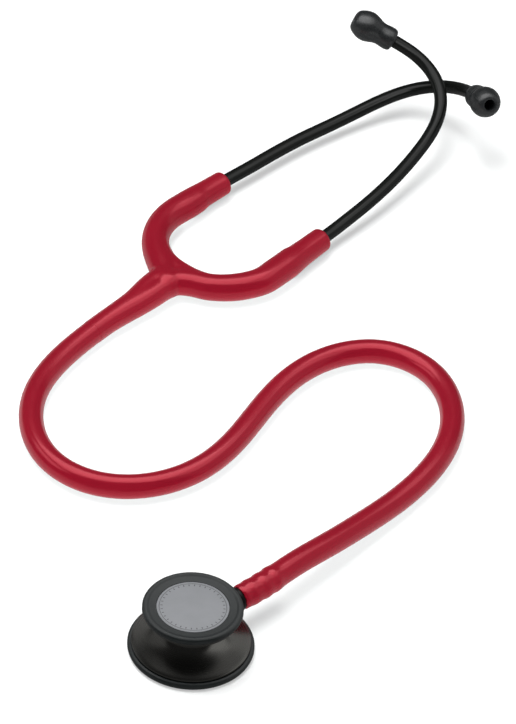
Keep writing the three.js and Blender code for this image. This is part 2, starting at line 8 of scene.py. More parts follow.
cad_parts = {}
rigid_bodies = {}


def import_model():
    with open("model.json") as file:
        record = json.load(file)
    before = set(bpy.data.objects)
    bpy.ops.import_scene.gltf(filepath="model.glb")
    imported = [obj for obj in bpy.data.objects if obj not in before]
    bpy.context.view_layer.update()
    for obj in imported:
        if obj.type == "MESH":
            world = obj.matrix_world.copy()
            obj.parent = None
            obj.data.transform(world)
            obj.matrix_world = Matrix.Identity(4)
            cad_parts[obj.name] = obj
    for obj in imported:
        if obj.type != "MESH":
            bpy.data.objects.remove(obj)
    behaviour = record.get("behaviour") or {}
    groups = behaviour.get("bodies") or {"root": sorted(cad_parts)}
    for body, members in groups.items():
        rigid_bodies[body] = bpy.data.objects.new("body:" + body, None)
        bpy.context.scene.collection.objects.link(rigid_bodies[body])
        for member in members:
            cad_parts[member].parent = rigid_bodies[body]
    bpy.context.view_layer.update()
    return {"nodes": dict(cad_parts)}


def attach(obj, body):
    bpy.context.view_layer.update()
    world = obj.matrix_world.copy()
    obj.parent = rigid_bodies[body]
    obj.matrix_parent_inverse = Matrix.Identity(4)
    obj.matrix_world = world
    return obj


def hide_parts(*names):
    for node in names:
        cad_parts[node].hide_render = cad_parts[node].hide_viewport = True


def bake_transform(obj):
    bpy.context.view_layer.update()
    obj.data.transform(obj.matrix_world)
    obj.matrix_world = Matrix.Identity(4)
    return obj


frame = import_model()
SC = bpy.context.scene
MM = 0.001
SIDES = ("left", "right")

# ---------------------------------------------------------------- main dimensions (mm, degrees)
TUBE_R, LUMEN_R = 4.62, 2.35
EAR_R, EAR_BORE = 2.55, 1.6
ARM_Z = 5.6
STEM_Z, STEM_HEADING = 11.5, 43.0
TUBE_START = 22.4  # from the chestpiece's axis, along the stem
HEAD_CENTRE = np.array([20.96, 243.53, 0.0])
HEAD_HEADING = 51.186
ARM_HINGE_ALONG = -30.0  # places marked "along" lie on the headset's axis, from HEAD_CENTRE
ARM_CUT_ALONG = -45.0  # where the arms join the fork

# [x, y, z] of the tubing's centre line, after its start at the stem
TUBE_PATH = [
    [23.04, 21.48, 11.5], [34.75, 34.94, 10.92], [47.93, 50.23, 8.77], [60.65, 65.86, 6.26],
    [73.14, 81.73, 4.73], [84.09, 98.75, 4.66], [90.84, 117.86, 4.66], [90.4, 138.2, 4.66],
    [80.75, 155.79, 4.66], [63.07, 163.62, 4.66], [43.86, 157.9, 4.66], [29.48, 143.7, 4.66],
    [19.6, 126.02, 4.66], [10.7, 107.53, 4.66], [-1.29, 91.23, 4.66], [-18.35, 80.58, 4.66],
    [-38.23, 79.09, 4.66], [-55.3, 88.64, 4.66], [-64.63, 106.76, 4.66], [-64.92, 127.11, 4.66],
    [-57.9, 145.8, 4.66], [-46.69, 162.9, 4.72], [-34.19, 178.6, 5.05], [-20.49, 194.82, ARM_Z],
]
# [along, across] of the arms' centre lines; across is positive to the left
ARM_PATH = {
    "left": [
        [-64, 0.7], [-60.2, 4.6], [-56.2, 10.2], [-52.3, 15.8], [-47.8, 20.5], [-42.4, 24.0],
        [-36.5, 26.1], [-30, 26.9], [-24.7, 26.8], [-19, 26.5], [-13.4, 26.1], [-7.7, 25.7],
        [-3.2, 25.4],
    ],
    "right": [
        [-64, 0.7], [-60.4, -3.0], [-56.6, -8.6], [-53.0, -13.6], [-49.6, -17.4], [-45.6, -20.6],
        [-41.4, -22.9], [-36.6, -24.4], [-30, -24.9], [-25.9, -24.95], [-20.2, -24.95],
        [-14.4, -24.9], [-8.5, -24.8], [-2.4, -24.7],
    ],
}
# [along, radius]
ARM_RADIUS = np.array([
    [-64, 5.5], [-52, 5.3], [-42, 5.3], [-34, 5.4], [-20, 5.35], [-14, 4.95], [-6, 4.8], [-2, 4.7],
])
# Bend per mm and angle of rise, at even places along an ear tube
EAR_CURVATURE = [-0.0019, 0.0025, 0.0054, 0.0033, 0.0035, 0.0232, 0.0456, 0.0438, 0.0219]
EAR_RISE = [0, -0.0051, 0.2, 0.3821]
EAR_LENGTH = 117.35
EAR_STEPS = 240
# Start of each ear tube and its turns in radians. A side of -1 mirrors the bend to the right.
EAR_PLACE = {
    "left": dict(along=7.898, across=24.264, yaw=0.0828, pitch=0.0022, roll=0.071, side=-1),
    "right": dict(along=2.303, across=-24.65, yaw=-0.0027, pitch=0.0812, roll=0.0817, side=1),
}


def unit(v):
    v = np.asarray(v, float)
    return v / np.linalg.norm(v, axis=-1, keepdims=True)


def heading(degrees):
    """A level unit vector, turned anticlockwise from +X."""
    return np.array([math.cos(math.radians(degrees)), math.sin(math.radians(degrees)), 0.0])


def left_of(direction):
    return np.array([-direction[1], direction[0], 0.0])


Z = np.array([0.0, 0.0, 1.0])
head_along = heading(HEAD_HEADING)
head_left = left_of(head_along)
stem_dir = heading(STEM_HEADING)
stem_left = left_of(stem_dir)
stem_origin = Z * STEM_Z


# ---------------------------------------------------------------- curves
def smoothstep(x, low, high):
    t = np.clip((np.asarray(x, float) - low) / (high - low), 0, 1)
    return t * t * (3 - 2 * t)


class Curve:
    """A natural cubic spline through points, sampled densely and read by arc length."""

    def __init__(self, points, step=0.25):
        pts = np.asarray(points, float)
        knots = np.r_[0, np.cumsum(np.linalg.norm(np.diff(pts, axis=0), axis=1))]
        count, gap = len(pts), np.diff(knots)
        slope = np.diff(pts, axis=0) / gap[:, None]
        system, known = np.zeros((count, count)), np.zeros(pts.shape)
        system[0, 0] = system[-1, -1] = 1.0
        for i in range(1, count - 1):
            system[i, i - 1:i + 2] = gap[i - 1], 2 * (gap[i - 1] + gap[i]), gap[i]
            known[i] = 6 * (slope[i] - slope[i - 1])
        second = np.linalg.solve(system, known)  # second derivatives at the knots
        u = np.linspace(0, knots[-1], int(knots[-1] / step) + 2)
        k = np.clip(np.searchsorted(knots, u, side="right") - 1, 0, count - 2)
        ahead, behind = (knots[k + 1] - u)[:, None], (u - knots[k])[:, None]
        width = gap[k][:, None]
        cubic = (second[k] * ahead**3 + second[k + 1] * behind**3) / (6 * width)
        self.points = (
            cubic
            + (pts[k] / width - second[k] * width / 6) * ahead
            + (pts[k + 1] / width - second[k + 1] * width / 6) * behind
        )
        lengths = np.linalg.norm(np.diff(self.points, axis=0), axis=1)
        self.arc = np.r_[0, np.cumsum(lengths)]
        self.length = self.arc[-1]
        self.tangents = unit(np.gradient(self.points, self.arc, axis=0))

    def at(self, s):
        """Points and tangents at arc lengths, carried straight on past either end."""
        s = np.asarray(s, float)
        inside = np.clip(s, 0, self.length)
        point = np.stack([np.interp(inside, self.arc, q) for q in self.points.T], -1)
        tangent = unit(np.stack([np.interp(inside, self.arc, q) for q in self.tangents.T], -1))
        return point + tangent * (s - inside)[..., None], tangent

    def point(self, s):
        return self.at(s)[0]


def head_point(along, across, z=ARM_Z):
    return HEAD_CENTRE + head_along * along + head_left * across + Z * z


def along_head(points):
    return (points - HEAD_CENTRE) @ head_along


def arc_at(curve, along):
    """Arc length at which a curve first reaches a place on the headset's axis."""
    return float(curve.arc[int(np.argmax(along_head(curve.points) >= along))])


def arm_radius(along):
    """The table of radii, averaged over 6 mm to soften its corners."""
    near = [np.interp(along + d, ARM_RADIUS[:, 0], ARM_RADIUS[:, 1]) for d in (-3, -1.5, 0, 1.5, 3)]
    return sum(near) / 5


def evenly(values, t):
    """Reads evenly spaced values at t, which runs from 0 to 1."""
    return np.interp(t * (len(values) - 1), np.arange(len(values)), values)


def ear_path(along, across, yaw, pitch, roll, side):
    """Centre line of an ear tube, and its direction at the tip."""
    t = np.linspace(0, 1, EAR_STEPS + 1)
    step = EAR_LENGTH / EAR_STEPS
    bend = evenly(EAR_CURVATURE, t)
    angle = np.r_[0, np.cumsum((bend[1:] + bend[:-1]) / 2 * step)]
    rise = evenly(EAR_RISE, t)
    dirs = np.stack([np.cos(angle) * np.cos(rise), np.sin(angle) * np.cos(rise), np.sin(rise)], -1)
    local = np.vstack([np.zeros(3), np.cumsum((dirs[1:] + dirs[:-1]) * step / 2, axis=0)])
    turn = np.array(
        Matrix.Rotation(yaw, 3, "Z") @ Matrix.Rotation(-pitch, 3, "Y") @ Matrix.Rotation(roll, 3, "X")
    )
    to_world = turn.T @ np.array([head_along, head_left * side, Z])
    start = head_point(along, across, ARM_Z - 0.05)
    return local @ to_world + start, unit(dirs[-1] @ to_world)


tube = Curve([stem_dir * TUBE_START + stem_origin] + TUBE_PATH)
arm = {side: Curve([head_point(*row) for row in ARM_PATH[side]]) for side in SIDES}
arm_hinge = {side: arc_at(arm[side], ARM_HINGE_ALONG) for side in SIDES}
arm_cut = {side: arc_at(arm[side], ARM_CUT_ALONG) for side in SIDES}

ear_end, ear_dir, ear_curve = {}, {}, {}
for side in SIDES:
    path, ear_dir[side] = ear_path(**EAR_PLACE[side])
    ear_end[side] = path[-1]
    # the ear tube begins inside the arm
    in_arm = [arm[side].point(arc_at(arm[side], along)) for along in (-22, -16, -10, -4)]
    ear_curve[side] = Curve(in_arm + list(path[12::12]))


# ---------------------------------------------------------------- mesh helpers
def finish_mesh(mesh, angle):
    """Smooth shading, with edges sharper than angle (degrees) kept."""
    mesh.polygons.foreach_set("use_smooth", [True] * len(mesh.polygons))
    mesh.set_sharp_from_angle(angle=math.radians(angle))
    mesh.update()


def make(name, verts, faces, mat, angle=34.0):
    """A mesh object from millimetre vertices."""
    mesh = bpy.data.meshes.new(name)
    mesh.from_pydata((np.asarray(verts, float) * MM).tolist(), [], faces)
    mesh.validate()
    bm = bmesh.new()
    bm.from_mesh(mesh)
    bmesh.ops.recalc_face_normals(bm, faces=bm.faces)
    bm.to_mesh(mesh)
    bm.free()
    finish_mesh(mesh, angle)
    ob = bpy.data.objects.new(name, mesh)
    SC.collection.objects.link(ob)
    if mat:
        mesh.materials.append(mat)
    return ob


def fillet(profile, corner, steps):
    """Rounds a closed outline of [r, z] or [r, z, corner radius]. Points on the axis stay."""
    out = []
    points = [np.array(row[:2], float) for row in profile]
    radii = [row[2] if len(row) > 2 else corner for row in profile]
    for i, p in enumerate(points):
        if p[0] < 1e-6 or radii[i] <= 0:
            out.append(p)
            continue
        back, ahead = points[i - 1] - p, points[(i + 1) % len(points)] - p
        back_len, ahead_len = np.linalg.norm(back), np.linalg.norm(ahead)
        back, ahead = back / back_len, ahead / ahead_len
        cosine = float(np.clip(back @ ahead, -1, 1))
        if cosine < -0.9995:  # nearly straight
            out.append(p)
            continue
        half = math.acos(cosine) / 2
        trim_len = min(radii[i] / math.tan(half), 0.48 * back_len, 0.48 * ahead_len)
        r = trim_len * math.tan(half)
        centre = p + unit(back + ahead) * (r / math.sin(half))
        start, end = p + back * trim_len - centre, p + ahead * trim_len - centre
        angle = math.atan2(start[1], start[0])
        sweep = math.atan2(end[1], end[0]) - angle
        sweep = (sweep + math.pi) % (2 * math.pi) - math.pi
        for k in range(steps + 1):
            w = angle + sweep * k / steps
            out.append(centre + r * np.array([math.cos(w), math.sin(w)]))
    return [(float(q[0]), float(q[1])) for q in out]


def smooth_outline(points, step):
    """[r, z] points on a spline through an outline, one for every three steps."""
    return Curve(points, step).points[::3].tolist()


def lathe(name, profile, mat, sides, origin=(0, 0, 0), axis=(0, 0, 1), angle=34.0):
    """Turns a closed [r, height] outline about axis. A point on the axis becomes one vertex."""
    axis, origin = unit(axis), np.asarray(origin, float)
    upright = abs(axis[2]) >= 0.99
    x = np.array([1.0, 0, 0]) if upright else unit(np.cross([0, 0, 1.0], axis))
    y = np.cross(axis, x)
    turn = np.arange(sides) * 2 * math.pi / sides
    ring = np.cos(turn)[:, None] * x + np.sin(turn)[:, None] * y
    verts, rows = [], []
    for r, height in profile:
        base = len(verts)
        if r < 1e-6:
            verts.append(origin + axis * height)
            rows.append([base] * sides)
        else:
            verts.extend(origin + axis * height + ring * r)
            rows.append(list(range(base, base + sides)))
    faces = []
    starts_on_axis = profile[0][0] < 1e-6
    for i in range(len(rows) - 1 if starts_on_axis else len(rows)):
        row, after = rows[i], rows[(i + 1) % len(rows)]
        for k in range(sides):
            l = (k + 1) % sides
            face = list(dict.fromkeys((row[k], row[l], after[l], after[k])))
            if len(face) > 2:
                faces.append(face)
    return make(name, np.array(verts), faces, mat, angle)


def rod(radius, low, high):
    """Outline of a solid cylinder."""
    return [(0, low), (radius, low), (radius, high), (0, high)]


def ring_points(centres, tangents, radii):
    """Rings of points square to a path, with a radius for every point. Angle 0 stays level."""
    side = unit(np.cross(np.broadcast_to(Z, tangents.shape), tangents))
    up = np.cross(tangents, side)
    turn = np.arange(radii.shape[1]) * 2 * math.pi / radii.shape[1]
    spokes = side[:, None, :] * np.cos(turn)[None, :, None]
    spokes = spokes + up[:, None, :] * np.sin(turn)[None, :, None]
    return centres[:, None, :] + spokes * radii[:, :, None]


def hollow(name, curve, start, end, outer, inner, mat, sides=56, step=0.9, end_round=0.0, lift=None):
    """A tube wall along a curve: outer and inner skins, joined by ring faces at both ends.

    outer and inner give radii at arc lengths. lift adds to the outer radius, point by point.
    """
    count = max(4, int(round((end - start) / step)))
    s = np.linspace(start, end, count + 1)
    s = np.unique(np.r_[s, start + 0.15, start + 0.4, end - 0.4, end - 0.15])
    radii = np.repeat(outer(s)[:, None], sides, 1)
    if lift is not None:
        radii = radii + lift(s, sides)
    if end_round:
        turn = math.pi / 2 * np.arange(1, 7) / 6
        s = np.r_[s, end + end_round * np.sin(turn)]
        radii = np.vstack([radii, radii[-1] - (end_round * (1 - np.cos(turn)))[:, None]])
    outer_rings = ring_points(*curve.at(s), radii)
    back = np.linspace(s[-1], s[0], max(3, int((s[-1] - s[0]) / 3)))
    inner_rings = ring_points(*curve.at(back), np.repeat(inner(back)[:, None], sides, 1))
    rings = np.concatenate([outer_rings, inner_rings])
    faces = []
    for i in range(len(rings)):
        j = (i + 1) % len(rings)
        for k in range(sides):
            l = (k + 1) % sides
            faces.append((i * sides + k, i * sides + l, j * sides + l, j * sides + k))
    return make(name, rings.reshape(-1, 3), faces, mat)


def boolean(ob, cutter, op, angle):
    """Joins or cuts ob with cutter, which is then removed."""
    mod = ob.modifiers.new("b", "BOOLEAN")
    mod.operation, mod.object, mod.solver = op, cutter, "EXACT"
    bpy.context.view_layer.update()
    graph = bpy.context.evaluated_depsgraph_get()
    graph.update()
    mesh = bpy.data.meshes.new_from_object(ob.evaluated_get(graph))
    ob.modifiers.clear()
    mats = [slot.material for slot in ob.material_slots]
    ob.data = mesh
    mesh.materials.clear()
    for mat in mats:
        mesh.materials.append(mat)
    bpy.data.objects.remove(cutter)
    finish_mesh(mesh, angle)


def stand_in(replaced):
    """Hides the CAD piece that a new mesh takes the place of."""
    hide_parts(replaced)


def ride(ob, body, replaced):
    """Fixes ob to one moving body, in place of a CAD piece."""
    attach(ob, body)
    stand_in(replaced)


# ---------------------------------------------------------------- materials
class Nodes:
    """A short way to write a node tree."""

    def __init__(self, owner, output):
        owner.use_nodes = True
        self.tree = owner.node_tree
        self.tree.nodes.clear()
        self.output = self.tree.nodes.new(output)

    def feed(self, socket, value):
        """Links an output to a socket, or sets the socket's value."""
        if isinstance(value, bpy.types.NodeSocket):
            self.tree.links.new(value, socket)
        else:
            socket.default_value = value

    def node(self, kind, *in_order, props=None, **by_name):
        n = self.tree.nodes.new(kind)
        for key, value in (props or {}).items():
            setattr(n, key, value)
        for i, value in enumerate(in_order):
            self.feed(n.inputs[i], value)
        for key, value in by_name.items():
            self.feed(n.inputs[key.replace("_", " ")], value)
        return n

    def math(self, op, a, b=0.0):
        return self.node("ShaderNodeMath", a, b, props={"operation": op}).outputs[0]

    def span(self, value, source, to, kind="LINEAR"):
        """Maps the range source onto the range to, and clamps outside it."""
        props = {"interpolation_type": kind}
        return self.node("ShaderNodeMapRange", value, *source, *to, props=props).outputs[0]

    def mix_shader(self, fac, a, b):
        return self.node("ShaderNodeMixShader", fac, a, b).outputs[0]

    def ray(self, kind):
        return self.node("ShaderNodeLightPath").outputs[f"Is {kind} Ray"]


class Material(Nodes):
    """A Principled material whose patterns follow object coordinates (in metres)."""

    def __init__(self, name):
        self.mat = bpy.data.materials.new(name)
        super().__init__(self.mat, "ShaderNodeOutputMaterial")
        self.bsdf = self.node("ShaderNodeBsdfPrincipled")
        self.feed(self.output.inputs[0], self.bsdf.outputs[0])
        self.coords = self.node("ShaderNodeTexCoord").outputs["Object"]

    def set(self, **values):
        for key, value in values.items():
            self.feed(self.bsdf.inputs[key.replace("_", " ")], value)

    def noise(self, scale, detail=3.0, rough=0.5, vector=None):
        vector = self.coords if vector is None else vector
        n = self.node(
            "ShaderNodeTexNoise", Vector=vector, Scale=scale, Detail=detail, Roughness=rough
        )
        return n.outputs["Fac"]

    def mottle(self, noise, dark, light):
        """A colour that drifts from dark to light with the noise."""
        n = self.node("ShaderNodeValToRGB", Fac=noise)
        for stop, at, colour in zip(n.color_ramp.elements, (0.3, 0.7), (dark, light)):
            stop.position = at
            stop.color = (*colour, 1)
        return n.outputs["Color"]

    def bump(self, height, strength, distance):
        n = self.node("ShaderNodeBump", Height=height, Strength=strength, Distance=distance)
        return n.outputs[0]

    def sheen(self, level):
        """A specular level that fades towards the silhouette, as on a slightly matt skin."""
        facing = self.node("ShaderNodeLayerWeight", Blend=0.5).outputs["Facing"]
        return self.span(facing, source=(0.40, 0.86), to=(level, 0.0))

    def radius(self):
        """Distance from the Z axis, then x, y and z."""
        x, y, z = self.node("ShaderNodeSeparateXYZ", Vector=self.coords).outputs
        squared = self.math("ADD", self.math("MULTIPLY", x, x), self.math("MULTIPLY", y, y))
        return self.math("SQRT", squared), x, y, z


def red_pvc():
    m = Material("red_pvc")
    big, fine = m.noise(scale=38, detail=2), m.noise(scale=900, rough=0.6)
    m.set(
        Base_Color=m.mottle(big, dark=(0.276, 0.0048, 0.0176), light=(0.306, 0.0059, 0.0198)),
        Roughness=m.span(fine, source=(0.35, 0.65), to=(0.17, 0.23)),
        Normal=m.bump(m.math("ADD", big, fine), strength=0.06, distance=0.00012),
        Specular_IOR_Level=m.sheen(0.9),
        Specular_Tint=(1.0, 0.21, 0.25, 1.0),  # dyed vinyl: its shine stays red
    )
    return m.mat


def rubber(name, dark, light, rough, grain=1600.0, relief=0.25, shine=0.22):
    m = Material(name)
    big, fine = m.noise(scale=90), m.noise(scale=grain, rough=0.6)
    m.set(
        Base_Color=m.mottle(big, dark, light),
        Roughness=m.span(fine, source=(0.3, 0.7), to=(rough - 0.06, rough + 0.08)),
        Normal=m.bump(fine, strength=relief, distance=0.00006),
        Specular_IOR_Level=m.sheen(shine),
    )
    return m.mat


def turned_metal(name, base, rough):
    """Lathe-turned metal with a satin smoke finish: faint grooves round Z and a slight haze."""
    m = Material(name)
    r, _, _, z = m.radius()
    turned = m.node("ShaderNodeCombineXYZ", X=r, Y=z, Z=0.0).outputs[0]
    grooves = m.noise(scale=1500, detail=2, rough=0.6, vector=turned)
    haze = m.noise(scale=70, detail=2)
    m.set(
        Base_Color=m.mottle(haze, dark=tuple(v * 0.93 for v in base), light=base),
        Metallic=1.0,
        Roughness=m.span(grooves, source=(0.3, 0.7), to=(rough - 0.02, rough + 0.02)),
    )
    return m.mat


def plain_metal(name, base, rough):
    m = Material(name)
    fine, haze = m.noise(scale=2500, detail=2, rough=0.6), m.noise(scale=80)
    m.set(
        Base_Color=m.mottle(haze, dark=tuple(v * 0.8 for v in base), light=base),
        Metallic=1.0,
        Roughness=m.span(fine, source=(0.3, 0.7), to=(rough - 0.05, rough + 0.06)),
        Normal=m.bump(fine, strength=0.08, distance=0.00002),
    )
    return m.mat


def black_tube():
    m = Material("black_tube")
    fine, haze = m.noise(scale=2200, rough=0.6), m.noise(scale=60)
    m.set(
        Base_Color=m.mottle(haze, dark=(0.0050, 0.0058, 0.0052), light=(0.0064, 0.0072, 0.0066)),
        Metallic=0.0,
        Roughness=m.span(fine, source=(0.3, 0.7), to=(0.16, 0.22)),
        Normal=m.bump(fine, strength=0.05, distance=0.00002),
        Specular_IOR_Level=m.sheen(0.16),
    )
    return m.mat


def face_print():
    """Grey printed disc: a pale field, a thin dark border and thirty-six short ticks."""
    tick_pairs = 18.0
    tick_width = 0.30  # as a share of the sine's height
    tick_band, border_band = (10.9, 11.7), (12.0, 12.22)  # radii in mm
    m = Material("face_print")
    r, x, y, _ = m.radius()
    angle = m.math("ARCTAN2", y, x)
    wave = m.math("ABSOLUTE", m.math("SINE", m.math("MULTIPLY", angle, tick_pairs)))
    fine, haze = m.noise(scale=3000, detail=2, rough=0.6), m.noise(scale=120)
    field = m.mottle(haze, dark=(0.170, 0.177, 0.189), light=(0.190, 0.197, 0.210))

    def band(low, high):
        beyond = m.math("GREATER_THAN", r, low * MM)
        return m.math("MULTIPLY", beyond, m.math("LESS_THAN", r, high * MM))

    ticks = m.math("MULTIPLY", m.math("LESS_THAN", wave, tick_width), band(*tick_band))
    ink = m.node("ShaderNodeMix", props={"data_type": "RGBA"})
    # of this node's inputs, 6 and 7 are the two colours
    m.feed(ink.inputs[0], m.math("MAXIMUM", band(*border_band), ticks))
    m.feed(ink.inputs[6], field)
    m.feed(ink.inputs[7], (0.035, 0.037, 0.042, 1))
    m.set(
        Base_Color=ink.outputs[2],
        Roughness=m.span(fine, source=(0.3, 0.7), to=(0.40, 0.5)),
        Normal=m.bump(fine, strength=0.05, distance=0.00002),
    )
    return m.mat


def sheet_plastic():
    m = Material("diaphragm_plastic")
    fine, haze = m.noise(scale=2600, detail=2), m.noise(scale=100)
    m.set(
        Base_Color=m.mottle(haze, dark=(0.42, 0.43, 0.44), light=(0.50, 0.51, 0.52)),
        Roughness=m.span(fine, source=(0.3, 0.7), to=(0.30, 0.38)),
        Normal=m.bump(fine, strength=0.1, distance=0.00003),
        Subsurface_Weight=0.1,
        Subsurface_Radius=(1, 1, 1),
        Subsurface_Scale=0.001,
    )
    return m.mat


PVC = red_pvc()
RIM = rubber(
    "rim_rubber", dark=(0.0072, 0.0092, 0.0095), light=(0.0092, 0.0116, 0.0120),
    rough=0.38, shine=0.24,
)
TIP = rubber(
    "ear_tip_rubber", dark=(0.0105, 0.0120, 0.0128), light=(0.0135, 0.0152, 0.0160),
    rough=0.30, grain=1400, relief=0.06, shine=0.55,
)
ORING = rubber("o_ring_rubber", dark=(0.006, 0.006, 0.006), light=(0.010, 0.010, 0.010), rough=0.45)
SMOKE = turned_metal("smoke_steel", base=(0.080, 0.079, 0.074), rough=0.27)
BRIGHT = plain_metal("bright_steel", base=(0.50, 0.49, 0.47), rough=0.25)
COLLAR = plain_metal("smoke_collar", base=(0.016, 0.016, 0.016), rough=0.35)
SPRING = plain_metal("spring_steel", base=(0.35, 0.35, 0.36), rough=0.3)
TUBE_BLACK = black_tube()
FERRULE = rubber(
    "ferrule_plastic", dark=(0.022, 0.022, 0.024), light=(0.030, 0.030, 0.032), rough=0.4
)
FACE = face_print()
SHEET = sheet_plastic()

# ---------------------------------------------------------------- tubing
SPAN_CUTS = [0.0, 93.5, 159.5, 226.5, 293.0, 360.0, 434.0]  # arc lengths along the tubing
BLEND_MARGIN = 5  # blend is handed points this far inside a span's ends
FIRST_BLEND_START = 28.0  # the first span's range for blend starts only past the end of the stem
BARBS = [(5.0, 0.24), (10.3, 0.30), (15.5, 0.32)]  # (arc length, swelling) over the stem's barbs
STEM_BORE_R = 3.45  # of the tubing, where it is stretched over the stem


def tube_outer(s):
    """Stretched over the stem's barbs, then its own radius."""
    swell = 0.12 * (1 - smoothstep(s, 14.0, 21.0))
    for barb, height in BARBS:
        x = s - barb
        swell = swell + height * np.exp(-((x / np.where(x < 0, 1.1, 2.1)) ** 2))
    return TUBE_R + swell - 0.35 * (1 - smoothstep(s, -0.3, 0.9))


def tube_inner(s):
    return LUMEN_R + (STEM_BORE_R - LUMEN_R) * (1 - smoothstep(s, 18.0, 20.0))


def blend(ob, curve, start, end):
    """Bakes ob's placement into its mesh; the points at arc lengths start and end are found but not
    used.
    """
    start, end = (tuple(curve.point(s) * MM) for s in (start, end))
    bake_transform(ob)


for i in range(6):
    start, end = SPAN_CUTS[i], SPAN_CUTS[i + 1]
    span = hollow(f"tubing_span_{i + 1}", tube, start, end, tube_outer, tube_inner, PVC)
    blend_start = start + BLEND_MARGIN if i else FIRST_BLEND_START
    blend(span, tube, blend_start, end - BLEND_MARGIN)
    stand_in(f"tubing_{i + 1}")

# ---------------------------------------------------------------- yoke fork
# A smooth union of the tube's end, both arms and a web, meshed from its distance field.
FORK_CUT = SPAN_CUTS[-1]
FORK_OVERLAP = 8  # the field runs this far past each cut
CAPSULE_STEP = 1.6
STRAND_SPREAD = 1.95
NET_MARGIN = 8.5
NET_STEP = 0.6
NET_PULLS, NET_EVENINGS = 10, 6
CHUNK = 60000  # points in one field call
# [along, across, radius] of the thin web that rounds out the bottom of the U
WEB = [
    (-48.3, 19.6, 1.4), (-50.8, 15.8, 3.2), (-53.1, 11.9, 3.9), (-54.6, 7.7, 4.1),
    (-55.2, 2.3, 4.15), (-55.0, -3.0, 4.1), (-54.1, -8.5, 3.8), (-52.0, -13.2, 3.0),
    (-49.6, -16.9, 1.4),
]


def capsules(points, radii, path):
    """Distance from points to a run of capsules with changing radius."""
    best = np.full(len(points), 1e9)
    for i in range(len(path) - 1):
        a, b = path[i], path[i + 1]
        ab = b - a
        t = np.clip(((points - a) @ ab) / (ab @ ab), 0, 1)
        radius = radii[i] + (radii[i + 1] - radii[i]) * t
        best = np.minimum(best, np.linalg.norm(points - (a + t[:, None] * ab), axis=1) - radius)
    return best


def smooth_min(a, b, width):
    h = np.clip(width - np.abs(a - b), 0, None) / width
    return np.minimum(a, b) - h * h * h * width / 6


tube_s = np.arange(FORK_CUT - FORK_OVERLAP, tube.length + 0.01, CAPSULE_STEP)
tube_pts = tube.point(tube_s)
tube_rad = TUBE_R + 0.4 * smoothstep(tube_s, 438, 466)
# towards the fork the moulding widens sideways, as two strands that lean apart
strand_left = tube_pts + head_left * (STRAND_SPREAD * smoothstep(tube_s, 455, 472))[:, None]
strand_right = tube_pts - head_left * (STRAND_SPREAD * smoothstep(tube_s, 438, 468))[:, None]

# (amount, from, to): how much slimmer each arm starts, and where it reaches full size
ARM_SLIMMING = {"left": (0.25, 4, 12), "right": (0.4, 5, 30)}
arm_pts, arm_rad = {}, {}
for side in SIDES:
    arm_s = np.arange(0, arm_cut[side] + FORK_OVERLAP, CAPSULE_STEP)
    arm_pts[side] = arm[side].point(arm_s)
    amount, slim_from, slim_to = ARM_SLIMMING[side]
    slimmer = amount * (1 - smoothstep(arm_s, slim_from, slim_to))
    arm_rad[side] = arm_radius(along_head(arm_pts[side])) - slimmer
# arm_s is the right arm's here: its root is shifted ahead and to the left
shift = smoothstep(arm_s, 1, 4) * (1 - smoothstep(arm_s, 10, 17))
arm_pts["right"] = arm_pts["right"] + (head_along * 0.75 + head_left * 0.6) * shift[:, None]

web_curve = Curve([[*head_point(along, across, ARM_Z - 0.2), r] for along, across, r in WEB])
web = web_curve.point(np.arange(0, web_curve.length, 1.4))
web_pts, web_rad = web[:, :3], web[:, 3]


def fork_field(points):
    strands = [capsules(points, tube_rad, strand) for strand in (strand_left, strand_right)]
    stalk = smooth_min(*strands, 1.0) + 0.08
    left, right = (capsules(points, arm_rad[side], arm_pts[side]) for side in SIDES)
    bridge = capsules(points, web_rad, web_pts)
    right_half = smooth_min(smooth_min(stalk, right, 2.5), bridge, 3.0)
    solid = smooth_min(right_half, smooth_min(left, bridge, 3.0), 1.8)
    low = 0.03 - points[:, 2]  # flat where it rests
    h = np.clip(0.6 - np.abs(solid - low), 0, None) / 0.6
    return np.maximum(solid, low) + h * h * h * 0.1


def sample(field, points):
    return np.concatenate([field(points[i:i + CHUNK]) for i in range(0, len(points), CHUNK)])


def net_quads(mask, cell_index):
    """A quad of four cells round every grid edge that crosses the surface."""
    n = mask.shape
    quads = []
    for axis in range(3):
        near = [slice(1, n[i] - 1) for i in range(3)]
        far = list(near)
        near[axis], far[axis] = slice(0, n[axis] - 1), slice(1, n[axis])
        start, end = mask[tuple(near)], mask[tuple(far)]
        crossed = np.argwhere(start != end)
        edge = crossed + np.array([0 if i == axis else 1 for i in range(3)])
        du, dv = np.eye(3, dtype=int)[[(axis + 1) % 3, (axis + 2) % 3]]
        quad = np.stack([cell_index[tuple((edge - d).T)] for d in (du * 0, du, du + dv, dv)], 1)
        outward = start[tuple(crossed.T)]
        quad[~outward] = quad[~outward][:, ::-1]
        quads.append(quad)
    return np.concatenate(quads)


def gradient(field, points, h=0.05):
    slope = [(sample(field, points + d) - sample(field, points - d)) / (2 * h) for d in np.eye(3) * h]
    slope = np.stack(slope, 1)
    return slope / np.maximum(np.linalg.norm(slope, axis=1, keepdims=True), 1e-6)


